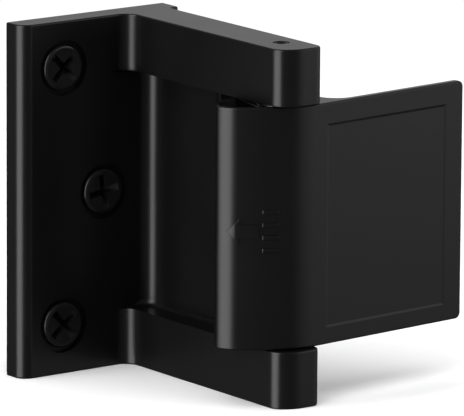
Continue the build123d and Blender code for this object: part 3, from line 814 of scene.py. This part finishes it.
class LOCK_OT_leaf(bpy.types.Operator):
    """Model the cast leaf: drum, plate, knuckle, heels and marks"""

    bl_idname = "lock.leaf"
    bl_label = "Leaf"

    def execute(self, context):
        s = context.scene.lock_leaf
        top = LEAF_TOP
        body = add_prism("leaf_casting", self.outline(s), -top, top)
        back = s.plate_thickness - s.plate_front
        round_edges(body, upright_at(s.flank, back), s.root, FILLET_STEPS)
        round_edges(body, upright_at(s.flank, s.back), s.back_corner, steps=10)
        self.round_plate(body, s)
        self.hollow(body, s, top)
        self.add_heels(body, s, top)
        self.cut_panel(body, s, top)
        break_edges(body, s.edge_break, limit=40.0)
        self.add_marks(body, context.scene.lock_marks)
        smooth(body)
        body.rotation_euler = (0.0, 0.0, s.lean)
        body.location = (PIN_X, PIN_Y, 0.0)
        apply_place(body)
        dress(body, finish("black_coating"), "leaf", "leaf")
        return {"FINISHED"}

    def round_plate(self, body, s):
        """Rounds the plate's free corners, then the rims of top, bottom and free edge."""
        reach = s.plate_reach
        least = WHOLE_EDGE * s.plate_thickness

        def free_corner(edge):
            along = abs(edge.verts[0].co.y - edge.verts[1].co.y)
            return all(abs(v.co.x - reach) < NEAR for v in edge.verts) and along > least

        def on_edge(face):
            at_end = face.normal.x > END_NORMAL and face.calc_center_median().x > reach - NEAR
            return abs(face.normal.z) > LEVEL_NORMAL or at_end

        def rim(edge):
            faces = edge.link_faces
            return len(faces) == 2 and on_edge(faces[0]) != on_edge(faces[1])

        round_edges(body, free_corner, s.plate_corner, steps=8)
        round_edges(body, rim, s.outline_round, RIM_STEPS)

    def outline(self, s):
        """Plan of the leaf: drum, the slope behind its nose, knuckle and plate."""
        drum = drum_line()
        tip_x, tip_y = drum[-1]
        last = drum_arcs()[-1][3]
        slope = -math.tan(last)
        back = s.plate_thickness - s.plate_front
        rest = [
            (tip_x + slope * (s.back - tip_y), s.back),
            (s.flank, s.back),
            (s.flank, back),
            (s.plate_reach, back),
            (s.plate_reach, -s.plate_front),
        ]
        return drum + rest

    def hollow(self, body, s, top):
        """Cuts the spring pocket, the slider's slot and the cover's seat."""
        floor = top - s.pocket_depth
        above = top + CLEAR
        far = FAR * s.back
        shift = s.pocket_shift
        pocket = add_rod("pocket", (shift, 0, floor), (shift, 0, above), s.pocket_radius)
        nose_end = (shift, s.back - s.pocket_back, above)
        combine(pocket, add_block("nose_room", (-far, -far, floor), nose_end), "UNION")
        wall = add_behind_drum("wall", s.pocket_rim, floor - CLEAR, above + CLEAR)
        combine(pocket, wall, "INTERSECT")
        combine(body, pocket, "DIFFERENCE")
        lowered = top - s.relief
        half = s.slot_half
        edge = s.cover_edge
        seat = s.back - s.cover_seat
        seat_end = (s.slot_end + edge, 2 * s.back, s.cover_half)
        for name, low, high in (
            ("back_relief", (-s.relief_left, s.relief_start, lowered), (far, far, above)),
            ("side_relief", (s.relief_start, 0.0, lowered), (far, far, above)),
            ("slot", (-half, -half, -top - CLEAR), (s.slot_end, half, floor + CLEAR)),
            ("seat", (-half - edge, seat, -s.cover_half), seat_end),
        ):
            combine(body, add_block(name, low, high), "DIFFERENCE")

    def add_heels(self, body, s, top):
        """Adds the two stop heels, square to the bracket's stop."""
        left = to_leaf(-s.heel_left, s.heel_face)
        right = to_leaf(-s.heel_right, s.heel_face)
        root = s.back - s.cover_seat
        outline = [left, (left[0], root), (right[0], root), right]
        for low in (-top + s.relief, top - s.relief - s.heel_height):
            heel = add_prism("heel", outline, low, low + s.heel_height)
            combine(body, heel, "UNION")

    def cut_panel(self, body, s, top):
        """Sinks the rectangular panel in the plate's front, with sloping walls."""
        face = -s.plate_front
        outer_low = (s.panel_start, face - s.panel_depth, -top + s.panel_bottom)
        outer_high = (s.plate_reach - s.panel_end, face + s.panel_depth, top - s.panel_top)
        panel = add_block("panel", outer_low, outer_high)
        middle_x = (outer_low[0] + outer_high[0]) / 2
        middle_z = (outer_low[2] + outer_high[2]) / 2
        for vertex in panel.data.vertices:
            inwards = s.panel_slope if vertex.co.y > face else -s.panel_slope
            vertex.co.x += inwards if vertex.co.x < middle_x else -inwards
            vertex.co.z += inwards if vertex.co.z < middle_z else -inwards
        combine(body, panel, "DIFFERENCE")

        def on_slope(face):
            sloping = SLOPE_NORMAL[0] < face.normal.y < SLOPE_NORMAL[1]
            return sloping and face.calc_center_median().x > s.panel_start

        pick(body, lambda edge: any(on_slope(face) for face in edge.link_faces))
        bpy.ops.mesh.mark_sharp()
        bpy.ops.object.mode_set(mode="OBJECT")

    def add_marks(self, body, m):
        """Adds the raised arrow and bars on the drum, rooted in its wall."""
        s = bpy.context.scene.lock_leaf
        neck = m.head_length - m.arrow_half
        arrow = [
            (-m.arrow_half, 0.0),
            (neck, -m.head_half),
            (neck, -m.shaft_half),
            (m.arrow_half, -m.shaft_half),
            (m.arrow_half, m.shaft_half),
            (neck, m.shaft_half),
            (neck, m.head_half),
        ]
        marks = [self.raise_mark(s, m, arrow, m.arrow_turn)]
        half = m.bar_width / 2
        tall = m.bar_height / 2
        for i in range(m.bar_count):
            middle = (i - (m.bar_count - 1) / 2) * m.bar_pitch
            low, high = middle - tall, middle + tall
            bar = [(-half, low), (half, low), (half, high), (-half, high)]
            marks.append(self.raise_mark(s, m, bar, m.bars_turn))
        take(body)
        for mark in marks:
            mark.select_set(True)
        bpy.ops.object.join()

    def raise_mark(self, s, m, outline, direction):
        """Raises one flat outline off the drum, to an even height."""
        (axis_x, axis_y), radius = drum_arcs()[1][:2]
        mark = add_prism("mark", outline, radius - m.root, radius + 2 * m.rise)
        angle = direction - s.lean
        out = Vector((math.cos(angle), math.sin(angle), 0.0))
        along = Vector((-math.sin(angle), math.cos(angle), 0.0))
        up = Vector((0.0, 0.0, 1.0))
        turn_matrix = Matrix((along, up, out)).transposed().to_4x4()
        mark.matrix_world = Matrix.Translation((axis_x, axis_y, -m.drop)) @ turn_matrix
        apply_place(mark)
        face_outwards(mark)
        skin = add_behind_drum("skin", -m.rise, -s.drum_radius, s.drum_radius)
        combine(mark, skin, "INTERSECT")
        break_edges(mark, m.edge, steps=3)
        return mark


# Pin, springs and inner pieces


class LOCK_OT_inner_pieces(bpy.types.Operator):
    """Finish the pin, springs, bushes, washers, slider and cover from their frame nodes"""

    bl_idname = "lock.inner_pieces"
    bl_label = "Inner pieces"

    def execute(self, context):
        for node, name, kind, slot, body in (
            ("hinge_pin", "pin", "black_hardware", "black_steel", "bracket"),
            ("pin_set_screw", "set_screw", "black_hardware", "black_steel", "bracket"),
            ("upper_thrust_washer", "thrust_washer_upper", "nylon", "bearing_plastic", "bracket"),
            ("lower_thrust_washer", "thrust_washer_lower", "nylon", "bearing_plastic", "bracket"),
            ("torsion_spring", "return_spring", "spring_wire", "spring_steel", "bracket"),
            ("slider", "slider_block", "plain_steel", "bright_steel", "slider"),
            ("upper_bush", "bush_upper", "bearing_bronze", "bearing_bronze", "slider"),
            ("lower_bush", "bush_lower", "bearing_bronze", "bearing_bronze", "slider"),
            ("upper_push_spring", "push_spring_high", "spring_wire", "spring_steel", "slider"),
            ("lower_push_spring", "push_spring_low", "spring_wire", "spring_steel", "slider"),
            ("knuckle_cover", "back_cover", "black_hardware", "black_steel", "leaf"),
            ("cover_screws", "back_cover_screws", "black_hardware", "black_steel", "leaf"),
        ):
            piece = merged_copy(node, name)
            smooth(piece, limit=30.0)
            dress(piece, finish(kind), body, node)
        return {"FINISHED"}


# Studio

WORLD_LIGHT = 0.06
WORLD_SHINE = 0.04  # added for what shows in reflections and through glass
FLOOR_SIZE = 12.0
FLOOR_COLOUR = (0.9, 0.9, 0.9, 1.0)
WHITE = (1.0, 1.0, 1.0, 1.0)
FLOOR_SHINE = 0.35  # the floor's glow as seen in reflections
FADE_START, FADE_END = 0.15, 0.5  # where the lit floor turns to plain white
SENSOR_WIDTH = 36.0
MIDDLE = (0.0, -0.02, 0.0)
# Name, place, aim, width, height, watts, and whether it shows in reflections
LAMPS = (
    ("overhead_lamp", (0.0, -0.1, 1.3), MIDDLE, 1.8, 1.8, 29.0, False),
    ("left_lamp", (-1.2, -0.07, 0.25), MIDDLE, 1.2, 2.2, 27.0, True),
    ("right_lamp", (1.1, -0.9, 0.6), (0.0, -0.02, 0.6), 2.2, 1.8, 8.5, True),
    ("back_lamp", (0.84, 1.1, 0.5), MIDDLE, 1.6, 1.2, 2.8, True),
)


def larger(tree, first, second):
    """The larger of two values."""
    node = tree.nodes.new("ShaderNodeMath")
    node.operation = "MAXIMUM"
    tree.links.new(first, node.inputs[0])
    tree.links.new(second, node.inputs[1])
    return node.outputs["Value"]


def ray_kinds(tree):
    """Whether a ray comes straight from the camera, and whether off a surface or through glass."""
    path = tree.nodes.new("ShaderNodeLightPath")
    shine = larger(tree, path.outputs["Is Glossy Ray"], path.outputs["Is Transmission Ray"])
    return path.outputs["Is Camera Ray"], shine


class LOCK_OT_studio(bpy.types.Operator):
    """Set the floor, the pale background, the lamps and the camera"""

    bl_idname = "lock.studio"
    bl_label = "Studio"

    def execute(self, context):
        scene = context.scene
        scene.view_settings.view_transform = "Standard"
        self.add_world(scene)
        self.add_floor()
        for lamp in LAMPS:
            self.add_lamp(*lamp)
        self.add_camera(scene)
        return {"FINISHED"}

    def add_world(self, scene):
        """White for the camera, dim for light and reflections."""
        world = bpy.data.worlds.new("studio_world")
        scene.world = world
        world.use_nodes = True
        tree = world.node_tree
        background = tree.nodes["Background"]
        background.inputs["Color"].default_value = WHITE
        camera_ray, shine = ray_kinds(tree)
        reflected = add_node(tree, "ShaderNodeMath", {1: WORLD_SHINE, 2: WORLD_LIGHT})
        reflected.operation = "MULTIPLY_ADD"
        tree.links.new(shine, reflected.inputs[0])
        strength = larger(tree, camera_ray, reflected.outputs["Value"])
        tree.links.new(strength, background.inputs["Strength"])

    def add_floor(self):
        """A wide pale floor under the lock that keeps its shadow."""
        deselect()
        bpy.ops.mesh.primitive_plane_add(size=FLOOR_SIZE, location=(0.0, 0.0, FLANGE_LOW.z))
        floor = bpy.context.active_object
        floor.name = "floor"
        apply_place(floor)
        material = bpy.data.materials.new("pale_floor")
        material.use_nodes = True
        tree = material.node_tree
        nodes, links = tree.nodes, tree.links
        nodes.remove(nodes["Principled BSDF"])
        lit = add_node(tree, "ShaderNodeBsdfDiffuse", {"Color": FLOOR_COLOUR})
        glow = add_node(tree, "ShaderNodeEmission", {"Color": WHITE})
        shine = ray_kinds(tree)[1]
        dim = add_node(tree, "ShaderNodeMapRange", {"To Min": 1.0, "To Max": FLOOR_SHINE})
        links.new(shine, dim.inputs["Value"])
        links.new(dim.outputs["Result"], glow.inputs["Strength"])
        place = nodes.new("ShaderNodeTexCoord")
        away = nodes.new("ShaderNodeVectorMath")
        away.operation = "LENGTH"
        links.new(place.outputs["Object"], away.inputs[0])
        ends = {"From Min": FADE_START, "From Max": FADE_END}
        fade = add_node(tree, "ShaderNodeMapRange", ends)
        fade.interpolation_type = "SMOOTHSTEP"
        links.new(away.outputs["Value"], fade.inputs["Value"])
        mix = nodes.new("ShaderNodeMixShader")
        links.new(larger(tree, fade.outputs["Result"], shine), mix.inputs["Fac"])
        links.new(lit.outputs["BSDF"], mix.inputs[1])
        links.new(glow.outputs["Emission"], mix.inputs[2])
        links.new(mix.outputs["Shader"], nodes["Material Output"].inputs["Surface"])
        floor.data.materials.append(material)
        floor.visible_glossy = False
        floor.visible_shadow = False

    def add_lamp(self, name, place, aim, width, height, power, shows):
        """One soft rectangular lamp that looks at a point."""
        deselect()
        way = Vector(aim) - Vector(place)
        turned = way.to_track_quat("-Z", "Y").to_euler()
        bpy.ops.object.light_add(type="AREA", location=place, rotation=turned)
        lamp = bpy.context.active_object
        lamp.name = name
        lamp.data.shape = "RECTANGLE"
        lamp.data.size = width
        lamp.data.size_y = height
        lamp.data.energy = power
        lamp.visible_camera = False
        lamp.visible_glossy = shows

    def add_camera(self, scene):
        """The camera at the photograph's angle."""
        c = scene.lock_studio
        sight = Vector(
            (
                math.sin(c.azimuth) * math.cos(c.elevation),
                math.cos(c.azimuth) * math.cos(c.elevation),
                -math.sin(c.elevation),
            )
        )
        side = Vector((math.cos(c.azimuth), -math.sin(c.azimuth), 0.0))
        up = side.cross(sight)
        rolled_side = math.cos(c.roll) * side + math.sin(c.roll) * up
        rolled_up = math.cos(c.roll) * up - math.sin(c.roll) * side
        place = Vector((c.aim_x, c.aim_y, c.aim_z)) - c.distance * sight
        deselect()
        bpy.ops.object.camera_add(location=place)
        camera = bpy.context.active_object
        camera.name = "camera"
        turn_matrix = Matrix((rolled_side, rolled_up, -sight)).transposed().to_4x4()
        camera.matrix_world = Matrix.Translation(place) @ turn_matrix
        camera.data.sensor_fit = "HORIZONTAL"
        camera.data.sensor_width = SENSOR_WIDTH
        camera.data.lens = c.lens
        scene.camera = camera


class LOCK_PT_panel(bpy.types.Panel):
    """Lists the lock's pieces and sizes in the sidebar"""

    bl_idname = "LOCK_PT_panel"
    bl_label = "Door lock"
    bl_space_type = "VIEW_3D"
    bl_region_type = "UI"
    bl_category = "Door lock"

    def draw(self, context):
        column = self.layout.column()
        for operator in OPERATORS:
            column.operator(operator.bl_idname)
        for name, group in GROUPS.items():
            for item in group.__annotations__:
                column.prop(getattr(context.scene, name), item)


OPERATORS = (
    LOCK_OT_bracket,
    LOCK_OT_wall_screws,
    LOCK_OT_leaf,
    LOCK_OT_inner_pieces,
    LOCK_OT_studio,
)
GROUPS = {
    "lock_bracket": BracketSizes,
    "lock_wall_screws": WallScrewSizes,
    "lock_leaf": LeafSizes,
    "lock_marks": MarkSizes,
    "lock_finish": Finish,
    "lock_studio": Studio,
}


def register():
    for group in GROUPS.values():
        bpy.utils.register_class(group)
    for name, group in GROUPS.items():
        setattr(bpy.types.Scene, name, bpy.props.PointerProperty(type=group))
    for operator in OPERATORS:
        bpy.utils.register_class(operator)
    bpy.utils.register_class(LOCK_PT_panel)


def unregister():
    bpy.utils.unregister_class(LOCK_PT_panel)
    for operator in reversed(OPERATORS):
        bpy.utils.unregister_class(operator)
    for name, group in GROUPS.items():
        delattr(bpy.types.Scene, name)
        bpy.utils.unregister_class(group)


def main():
    register()
    bpy.ops.lock.bracket()
    bpy.ops.lock.wall_screws()
    bpy.ops.lock.leaf()
    bpy.ops.lock.inner_pieces()
    bpy.ops.lock.studio()


if __name__ == "__main__":
    main()
